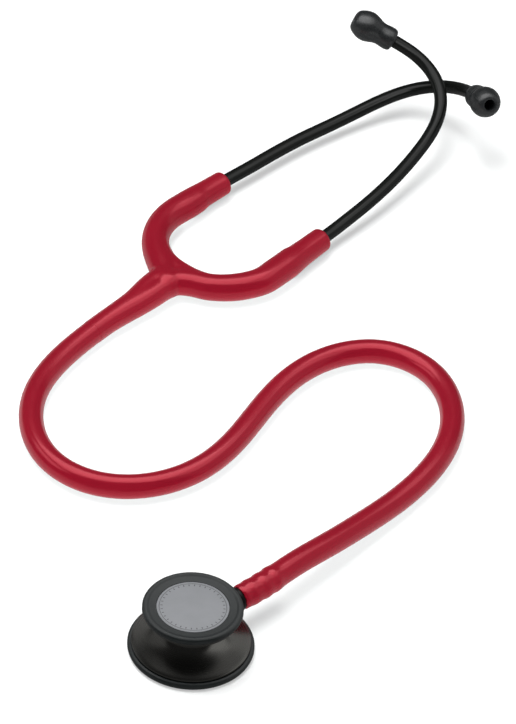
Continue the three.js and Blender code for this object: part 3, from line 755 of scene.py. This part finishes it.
def surface_nets(field, low, high, step):
    """A closed surface of field = 0 by naive surface nets, then pulled onto it."""
    n = np.ceil((high - low) / step).astype(int) + 1
    axes = [low[i] + np.arange(n[i]) * step for i in range(3)]
    grid = np.stack(np.meshgrid(*axes, indexing="ij"), -1).reshape(-1, 3)
    mask = sample(field, grid).reshape(n) < 0
    corners = [
        mask[a:n[0] - 1 + a, b:n[1] - 1 + b, c:n[2] - 1 + c]
        for a in (0, 1) for b in (0, 1) for c in (0, 1)
    ]
    inside = np.stack(corners).sum(0)
    active = (inside > 0) & (inside < 8)
    cell_index = -np.ones(active.shape, int)
    cell_index[active] = np.arange(active.sum())
    verts = low + (np.argwhere(active) + 0.5) * step
    quads = net_quads(mask, cell_index)
    for turn in range(NET_PULLS):
        verts = verts - gradient(field, verts) * sample(field, verts)[:, None]
        if turn < NET_EVENINGS:  # even out the spacing between pulls
            total, count = np.zeros_like(verts), np.zeros(len(verts))
            for a, b in ((0, 1), (1, 2), (2, 3), (3, 0)):
                np.add.at(total, quads[:, a], verts[quads[:, b]])
                np.add.at(total, quads[:, b], verts[quads[:, a]])
                np.add.at(count, quads[:, a], 1)
                np.add.at(count, quads[:, b], 1)
            verts = verts * 0.5 + 0.5 * total / count[:, None]
    return verts, quads


def trim(ob, point, normal):
    """Cuts ob by a plane, keeps the side the normal points away from, and closes the cut."""
    bm = bmesh.new()
    bm.from_mesh(ob.data)
    bmesh.ops.bisect_plane(
        bm, geom=bm.verts[:] + bm.edges[:] + bm.faces[:], dist=1e-7,
        plane_co=Vector(point) * MM, plane_no=Vector(normal), clear_outer=True,
    )
    bmesh.ops.holes_fill(bm, edges=[e for e in bm.edges if e.is_boundary], sides=0)
    bmesh.ops.recalc_face_normals(bm, faces=bm.faces)
    bm.to_mesh(ob.data)
    bm.free()
    finish_mesh(ob.data, 60)


fork_pts = np.concatenate([tube_pts, arm_pts["left"], arm_pts["right"]])
verts, quads = surface_nets(
    fork_field, fork_pts.min(0) - NET_MARGIN, fork_pts.max(0) + NET_MARGIN, NET_STEP
)
fork = make("yoke_fork", verts, quads.tolist(), PVC, 60)
point, tangent = tube.at(FORK_CUT)
trim(fork, point, -tangent)
for side in SIDES:
    trim(fork, *arm[side].at(arm_cut[side]))
ride(fork, "yoke", "tubing_yoke")

# ---------------------------------------------------------------- arms
# Each arm stands proud over the end of the leaf spring, on the side that faces the other
# arm. Places are along the headset's axis.
#   swell: where the bulge rises; stop: where it ends; height: of the bulge
#   lean: sideways change of radius, on over lean_on and off over lean_off
#   inset: how far short of the curve's end the rounding begins
ARM_SHAPE = {
    "left": dict(
        facing=-1, swell=(-38, -22), stop=-16.2, height=0.6,
        lean=-0.2, lean_on=(-32, -22), lean_off=None, inset=0.6,
    ),
    "right": dict(
        facing=1, swell=(-42, -28), stop=-18.4, height=0.75,
        lean=-0.5, lean_on=(-44, -34), lean_off=(-24, -14), inset=0.2,
    ),
}


def build_arm(side):
    curve, shape = arm[side], ARM_SHAPE[side]

    def outer(s):
        return arm_radius(along_head(curve.point(s)))

    def inner(s):
        """The lumen, opening into a socket for the ear tube."""
        along = along_head(curve.point(s))
        return LUMEN_R + (EAR_R + 0.12 - LUMEN_R) * smoothstep(along, -23.4, -22.2)

    def bulge(s, sides):
        along = along_head(curve.point(s))
        level = np.cos(np.arange(sides) * 2 * math.pi / sides)
        lift = np.clip(level * shape["facing"], 0, 1) ** 1.5
        fade = 1 - smoothstep(along, shape["stop"] - 2.2, shape["stop"] + 2.2)
        amount = smoothstep(along, *shape["swell"]) * fade * shape["height"]
        lean = shape["lean"] * smoothstep(along, *shape["lean_on"])
        if shape["lean_off"]:
            lean = lean * (1 - smoothstep(along, *shape["lean_off"]))
        return amount[:, None] * lift[None, :] + lean[:, None] * level[None, :]

    start, hinge = arm_cut[side], arm_hinge[side]
    piece = hollow(
        "yoke_arm_" + side, curve, start, curve.length - shape["inset"], outer, inner, PVC,
        end_round=1.1, lift=bulge,
    )
    # the range handed to blend is centred on the hinge
    blend(piece, curve, start + 4, hinge + (hinge - start) - 4)
    stand_in("tubing_arm_" + side)


# ---------------------------------------------------------------- ear tubes and ear tips
# Outlines here are [r, distance past the ear tube's end, corner radius if it has its own]
SPIGOT = [
    [1.5, -0.6], [2.45, -0.6], [2.5, 0.6], [2.25, 0.7], [2.2, 1.0], [2.95, 1.2], [3.0, 4.0],
    [3.35, 4.4], [3.35, 5.4], [2.8, 7.2], [2.2, 7.3], [2.2, 8.0], [1.5, 8.0],
]
TIP_OUTSIDE = [
    [3.3, 0.62], [3.65, 0.5], [4.05, 0.7], [4.38, 1.15], [4.58, 1.8], [4.68, 2.7], [4.68, 3.7],
    [4.58, 4.8], [4.5, 5.9], [4.57, 7.0], [4.95, 8.3], [5.45, 9.6], [5.86, 10.9], [6.05, 12.2],
    [5.98, 13.5], [5.65, 14.9], [5.1, 16.2], [4.4, 17.4], [3.8, 18.0], [3.2, 18.35], [2.55, 18.45],
]
TIP_INSIDE = [
    [2.32, 18.35], [2.2, 18.1], [2.16, 17.7], [2.15, 14], [2.2, 12], [2.5, 9.6], [2.75, 9.2],
    [3.3, 9.0], [3.55, 8.7], [3.6, 8.2], [3.6, 2.0], [3.4, 1.6], [3.12, 1.3], [3.1, 0.95],
]


def build_ear(side):
    curve, end, direction = ear_curve[side], ear_end[side], ear_dir[side]
    ear = hollow(
        side + "_ear_tube_fine", curve, 0.0, curve.length - 0.1,
        lambda s: np.full(len(s), EAR_R), lambda s: np.full(len(s), EAR_BORE),
        TUBE_BLACK, sides=48, step=0.8, end_round=0.3,
    )
    ride(ear, "headset_" + side, side + "_ear_tube")

    spigot = lathe(side + "_ear_spigot", fillet(SPIGOT, 0.1, 3), FERRULE, 48, end, direction)
    ride(spigot, "headset_" + side, side + "_ear_ferrule")

    outline = smooth_outline(TIP_OUTSIDE, 0.12) + TIP_INSIDE
    tip = lathe(side + "_ear_tip_soft", outline, TIP, 96, end, direction)
    ride(tip, "ear_tip_" + side, side + "_ear_tip")


for side in SIDES:
    build_arm(side)
    build_ear(side)


# ---------------------------------------------------------------- chestpiece body
# Outlines are [r, z, corner radius if it has its own]
def stem_lathe(name, profile, mat, sides):
    """Turns [r, distance along the stem] about the stem's axis."""
    return lathe(name, profile, mat, sides, stem_origin, stem_dir, 30)


WAIST = [
    [21.3, 4.3], [20.3, 4.68], [17.6, 5.7], [15.0, 6.85], [12.9, 8.2], [11.5, 9.6], [10.9, 11.0],
    [11.0, 12.4], [11.9, 13.8], [13.6, 15.0], [16.2, 16.2],
]
BODY_BELOW = [
    [0, 6.4], [3.0, 6.2], [18.6, 2.6], [19.2, 1.8], [19.9, 1.8], [19.9, 3.0, 0.1],
    [20.4, 3.2, 0.05], [21.5, 3.22, 0.15], [21.75, 3.55, 0.2], [21.6, 4.1, 0.25],
]
BODY_ABOVE = [
    [16.6, 16.35, 0.3], [17.15, 16.6, 0.2], [17.2, 17.5, 0.2], [16.85, 17.8, 0.1],
    [15.4, 17.8, 0.1], [15.4, 18.45, 0.1], [15.0, 18.58], [14.4, 18.58], [13.8, 17.9],
    [2.6, 16.3], [0, 16.2],
]
# [r, distance along the stem, corner radius if it has its own]
BOSS = [
    [0, 5], [5.6, 5], [5.2, 10.4, 1.0], [4.45, 12.0, 1.5], [4.3, 13.4, 1.0], [4.3, 18.0, 0.35],
    [0, 18.0],
]
# the stem's socket, with a groove round it and a wider mouth
SOCKET = [
    (0, -6.2), (3.2, -6.2), (3.2, 13.2), (3.7, 13.2), (3.7, 14.4), (3.2, 14.4), (3.2, 17.7),
    (3.4, 18.1), (3.4, 19), (0, 19),
]
DETENT_ALONG = 3.4  # along the stem
BODY_ANGLE = 28

waist = [[r, z, 0] for r, z in smooth_outline(WAIST, 0.2)[1:-1]]
outline = fillet(BODY_BELOW + waist + BODY_ABOVE, 0.12, 4)
body = lathe("chestpiece_turned", outline, SMOKE, 192, angle=BODY_ANGLE)
boolean(body, stem_lathe("boss", fillet(BOSS, 0.2, 6), SMOKE, 72), "UNION", BODY_ANGLE)
boolean(body, stem_lathe("cutter", SOCKET, None, 48), "DIFFERENCE", BODY_ANGLE)
# sound passages from the socket down to the wide side and up to the small side
for radius, low, high in ((1.5, 5, STEM_Z), (1.2, STEM_Z, 17.5)):
    boolean(body, lathe("cutter", rod(radius, low, high), None, 32), "DIFFERENCE", BODY_ANGLE)
# the detent's hole, level and square to the stem
detent = stem_origin + stem_dir * DETENT_ALONG
detent_hole = lathe("cutter", rod(1.3, 2.5, 12.0), None, 32, detent, stem_left)
boolean(body, detent_hole, "DIFFERENCE", BODY_ANGLE)
ride(body, "chestpiece", "chestpiece_body")

# ---------------------------------------------------------------- rims, diaphragms and face
ADULT_RIM = [
    [20.0, 0.3, 0.1], [22.2, 0.3, 0.5], [22.75, 0.65, 0.5], [23.0, 1.3, 0.6], [23.0, 2.1, 0.5],
    [22.7, 2.75, 0.4], [22.1, 3.05, 0.3], [21.45, 3.0, 0.12], [21.2, 2.8, 0.1], [20.2, 2.65, 0.1],
    [20.2, 1.8, 0.1], [20.9, 1.65, 0.08], [20.9, 0.6, 0.08], [20.0, 0.6, 0.08],
]
CHILD_RIM = [
    [17.0, 18.15, 0.08], [17.95, 18.2, 0.25], [18.3, 18.6, 0.3], [18.3, 19.8, 0.5],
    [17.95, 20.35, 0.5], [17.35, 20.62, 0.5], [16.6, 20.58, 0.6], [15.8, 20.2, 0.9],
    [13.4, 20.02, 0.1], [13.2, 19.95, 0.06], [13.2, 19.65, 0.04], [15.9, 19.65, 0.04],
    [16.0, 19.4, 0.04], [16.0, 18.15, 0.05],
]
ADULT_SHEET = [
    [0, 0.06], [15.2, 0.06, 0.05], [15.5, 0.0, 0.2], [18.9, 0.0, 0.5], [19.5, 0.9, 0.15],
    [20.6, 0.9, 0.05], [20.6, 1.3, 0.05], [19.2, 1.3, 0.15], [18.7, 0.45, 0.3], [0, 0.45],
]
CHILD_SHEET = [[0, 18.95], [15.3, 18.95, 0.1], [15.6, 19.05, 0.1], [15.6, 19.35, 0.1], [0, 19.35]]
FACE_DISC = [
    [0, 19.65], [13.0, 19.65, 0.05], [13.1, 19.72, 0.05], [13.1, 19.92, 0.08],
    [12.95, 20.0, 0.08], [12.5, 20.0, 0.05], [12.42, 19.94, 0.04], [12.36, 19.94, 0.04],
    [12.28, 20.0, 0.04], [0, 20.0],
]

adult = lathe("adult_rim_soft", fillet(ADULT_RIM, 0.1, 5), RIM, 192)
ride(adult, "chestpiece", "adult_rim")
child = lathe("child_rim_soft", fillet(CHILD_RIM, 0.1, 6), RIM, 192)
ride(child, "chestpiece", "child_rim")
adult_sheet = lathe("adult_diaphragm_sheet", fillet(ADULT_SHEET, 0.1, 5), SHEET, 160)
ride(adult_sheet, "adult_diaphragm", "adult_diaphragm")
child_sheet = lathe("child_diaphragm_sheet", fillet(CHILD_SHEET, 0.1, 4), SHEET, 160)
ride(child_sheet, "child_diaphragm", "child_diaphragm")
face = lathe("child_face_print", fillet(FACE_DISC, 0.05, 4), FACE, 160)
ride(face, "child_diaphragm", "child_face_disc")

# ---------------------------------------------------------------- stem and small parts
# [r, distance along the stem, corner radius if it has its own]
STEM = [
    [0, -5.6], [2.7, -5.6, 0.2], [3.0, -5.3, 0.2], [3.0, 7.0, 0.1], [2.2, 7.1, 0.1],
    [2.2, 8.9, 0.1], [3.0, 9.0, 0.1], [3.0, 13.2, 0.05], [2.4, 13.3, 0.05], [2.4, 14.3, 0.05],
    [3.0, 14.4, 0.05], [3.0, 18.3, 0.1], [4.2, 18.35, 0.2], [4.55, 18.7, 0.3], [4.6, 19.4, 0.1],
    [4.6, 21.6, 0.3], [4.35, 22.1, 0.2], [2.35, 22.15, 0.1], [2.35, 26.9, 0.2],
    [2.8, 27.2, 0.12], [2.35, 32.1, 0.2], [2.8, 32.4, 0.12], [2.3, 37.3, 0.2],
    [2.75, 37.6, 0.12], [2.1, 40.6, 0.3], [0, 40.6],
]
stem = stem_lathe("valve_stem_turned", fillet(STEM, 0.1, 4), COLLAR, 72)
# the bore, then a port down through the wall
boolean(stem, stem_lathe("cutter", rod(1.6, -2.2, 42), None, 32), "DIFFERENCE", 30)
boolean(stem, lathe("cutter", rod(1.3, 7.5, STEM_Z), None, 24), "DIFFERENCE", 30)
ride(stem, "tube_1", "stem")

CAD_MATERIALS = {
    "stem_o_ring": ORING,
    "stem_retaining_clip": BRIGHT,
    "detent_ball": BRIGHT,
    "detent_spring": BRIGHT,
    "detent_screw": COLLAR,
    "headset_spring": SPRING,
}
for name, mat in CAD_MATERIALS.items():
    materials = frame["nodes"][name].data.materials
    materials.clear()
    materials.append(mat)


# ---------------------------------------------------------------- floor
# From here on, places and sizes are in metres, apart from the floor's corners.
def floor_white():
    """A backlit table: its shadows stay pale."""
    m = Material("floor_white")
    noise = m.noise(scale=3, detail=2)
    to_surfaces = m.math("MULTIPLY", m.ray("Diffuse"), 0.67)
    m.set(
        Base_Color=m.mottle(noise, dark=(0.430, 0.438, 0.437), light=(0.450, 0.458, 0.457)),
        Roughness=0.9,
        Specular_IOR_Level=0.0,
        Emission_Color=(1, 1, 1, 1),
        Emission_Strength=m.math("ADD", to_surfaces, 0.40),
    )
    # in reflections: darker in front and behind
    y = m.node("ShaderNodeSeparateXYZ", Vector=m.coords).outputs[1]
    front = m.span(y, source=(-0.03, 0.07), to=(0.22, 0.9))
    behind = m.span(y, source=(0.17, 0.25), to=(1.0, 0.45))
    strength = m.math("MULTIPLY", front, behind)
    mirror = m.node("ShaderNodeEmission", Color=(1, 1, 1, 1), Strength=strength)
    both = m.mix_shader(m.ray("Glossy"), m.bsdf.outputs[0], mirror.outputs[0])
    m.feed(m.output.inputs[0], both)
    return m.mat


FLOOR_HALF = 6000
corners = [(x * FLOOR_HALF, y * FLOOR_HALF, 0) for x, y in ((-1, -1), (1, -1), (1, 1), (-1, 1))]
floor = make("studio_floor", corners, [(0, 1, 2, 3)], floor_white())
floor.location.z = -0.00005

# ---------------------------------------------------------------- world
# Soft panels seen only in reflections, as ranges of the view direction's x, y and z.
WORLD_PANELS = [
    dict(x=(0.52, 1.20), y=(-0.40, 0.50), z=(0.02, 0.85), soft=0.08, brightness=0.50),
    dict(x=(-0.40, 0.60), y=(0.10, 0.80), z=(0.72, 1.30), soft=0.10, brightness=0.50),
]
ROOM_REFLECTED = 0.09  # between the panels
ROOM_LIGHT = 0.56  # on surfaces
ROOM_SEEN = 1.2  # by the camera

world = bpy.data.worlds.new("studio")
SC.world = world
sky = Nodes(world, "ShaderNodeOutputWorld")
view = sky.node("ShaderNodeTexCoord").outputs["Generated"]
view_x, view_y, view_z = sky.node("ShaderNodeSeparateXYZ", Vector=view).outputs


def window(value, low, high, soft):
    """1 inside low..high, falling smoothly to 0 over soft on each side."""
    rise = sky.span(value, (low - soft, low + soft), (0.0, 1.0), kind="SMOOTHSTEP")
    fall = sky.span(value, (high - soft, high + soft), (1.0, 0.0), kind="SMOOTHSTEP")
    return sky.math("MULTIPLY", rise, fall)


def world_panel(x, y, z, soft, brightness):
    flat = sky.math("MULTIPLY", window(view_x, *x, soft), window(view_y, *y, soft))
    tall = sky.math("MULTIPLY", window(view_z, *z, soft), brightness)
    return sky.math("MULTIPLY", flat, tall)


def background(colour, strength):
    return sky.node("ShaderNodeBackground", Color=colour, Strength=strength).outputs[0]


glow = sky.math("ADD", *[world_panel(**panel) for panel in WORLD_PANELS])
glow = sky.math("ADD", glow, ROOM_REFLECTED)
grey = sky.node("ShaderNodeCombineColor", glow, glow, glow).outputs[0]
white = (1, 1, 1, 1)
reflected = background(grey, 1.0)
unseen = sky.mix_shader(sky.ray("Glossy"), background(white, ROOM_LIGHT), reflected)
seen = sky.mix_shader(sky.ray("Camera"), unseen, background(white, ROOM_SEEN))
sky.feed(sky.output.inputs[0], seen)


# ---------------------------------------------------------------- lights
def softbox(name, place, target, size, watts, reflected=False):
    """A soft lamp. A reflected one is seen only in reflections, any other only lights surfaces."""
    lamp = bpy.data.lights.new(name, "AREA")
    lamp.shape, lamp.size, lamp.size_y, lamp.energy = "RECTANGLE", size[0], size[1], watts
    ob = bpy.data.objects.new(name, lamp)
    SC.collection.objects.link(ob)
    ob.location = place
    ob.visible_glossy, ob.visible_diffuse = reflected, not reflected
    ob.visible_camera = False
    ob.rotation_euler = (Vector(target) - Vector(place)).to_track_quat("-Z", "Y").to_euler()
    return ob


def panel(name, place, target, size, radiance):
    """A lamp seen in reflections, of a given radiance."""
    watts = radiance * math.pi * size[0] * size[1]
    return softbox(name, place, target, size, watts, reflected=True)


def overhead(name, x, y, radiance):
    """A level panel 0.6 m up, over ranges of x and y."""
    mid_x, mid_y = sum(x) / 2, sum(y) / 2
    target = (mid_x, mid_y + 1e-6, 0)  # a hair off plumb, which settles the way it is turned
    return panel(name, (mid_x, mid_y, 0.6), target, (x[1] - x[0], y[1] - y[0]), radiance)


def standing(name, direction, size, radiance):
    """A panel 2 m away that faces the chestpiece."""
    return panel(name, Vector(direction).normalized() * 2.0, (0, 0, 0.01), size, radiance)


def receivers(lamps, obs, state="INCLUDE"):
    """Only obs receive these lamps, or all but obs."""
    group = bpy.data.collections.new("receivers")
    for i, ob in enumerate(obs):
        group.objects.link(ob)
        group.collection_objects[i].light_linking.link_state = state
    for lamp in lamps:
        lamp.light_linking.receiver_collection = group


overhead_panels = [
    overhead("panel_main", x=(-0.46, 0.27), y=(-0.03, 0.56), radiance=3.3),
    overhead("panel_right", x=(0.27, 0.60), y=(-0.03, 0.56), radiance=1.6),
    overhead("panel_left", x=(-1.1, -0.61), y=(-0.22, 0.50), radiance=2.3),
]
softbox("key_left", place=(-0.30, 0.42, 1.6), target=(0, 0.15, 0), size=(1.1, 1.1), watts=18)
# the metal under the small rim reflects the room, not the overhead panels, which the rim hides
receivers(overhead_panels, [body], "EXCLUDE")
room_panels = [
    standing("room_back_right", direction=(0.40, 0.80, 0.43), size=(1.46, 1.34), radiance=1.0),
    standing("room_back_left", direction=(-0.29, 0.85, 0.43), size=(1.20, 1.34), radiance=0.72),
    standing("room_right", direction=(0.92, 0.08, 0.42), size=(2.1, 1.6), radiance=0.9),
    standing("room_left", direction=(-0.90, 0.33, 0.42), size=(1.7, 1.5), radiance=0.45),
]
receivers(room_panels, [body, adult, child, face])
table_light = softbox(
    "table_light", place=(-0.34, 0.46, 1.5), target=(0, 0.15, 0), size=(0.95, 0.95), watts=27
)
receivers([table_light], [floor])
for ob in SC.objects:  # the tubing throws a grey shadow, not a red one
    if ob.type == "MESH" and PVC in list(ob.data.materials):
        ob.visible_diffuse = False
ear_panels = [
    overhead("ear_panel_front", x=(0.0, 0.80), y=(-0.60, -0.03), radiance=3.8),
    overhead("ear_panel_side", x=(0.60, 0.86), y=(-0.03, 0.50), radiance=1.8),
]
receivers(ear_panels, [SC.objects[side + "_ear_tube_fine"] for side in SIDES])

# ---------------------------------------------------------------- camera
ELEVATION, CAMERA_ROLL = math.radians(41.0984), math.radians(3.7225)
CAMERA_DISTANCE = 2.44119
LOOK_AT = Vector((0.0175607, 0.1585355, 0))
FOCAL_LENGTH, SENSOR_WIDTH = 320.15138, 36  # mm

to_camera = Vector((0, -math.cos(ELEVATION), math.sin(ELEVATION)))
level, upward = Vector((1, 0, 0)), Vector((0, math.sin(ELEVATION), math.cos(ELEVATION)))
camera_x = math.cos(CAMERA_ROLL) * level + math.sin(CAMERA_ROLL) * upward
camera_y = -math.sin(CAMERA_ROLL) * level + math.cos(CAMERA_ROLL) * upward
camera_data = bpy.data.cameras.new("camera")
camera_data.lens = FOCAL_LENGTH
camera_data.sensor_width = SENSOR_WIDTH
camera_data.clip_start, camera_data.clip_end = 0.05, 60
camera = bpy.data.objects.new("camera", camera_data)
SC.collection.objects.link(camera)
pose = Matrix((camera_x, camera_y, to_camera)).transposed().to_4x4()
pose.translation = LOOK_AT + to_camera * CAMERA_DISTANCE
camera.matrix_world = pose
SC.camera = camera
SC.view_settings.view_transform = "Standard"
SC.view_settings.look = "None"
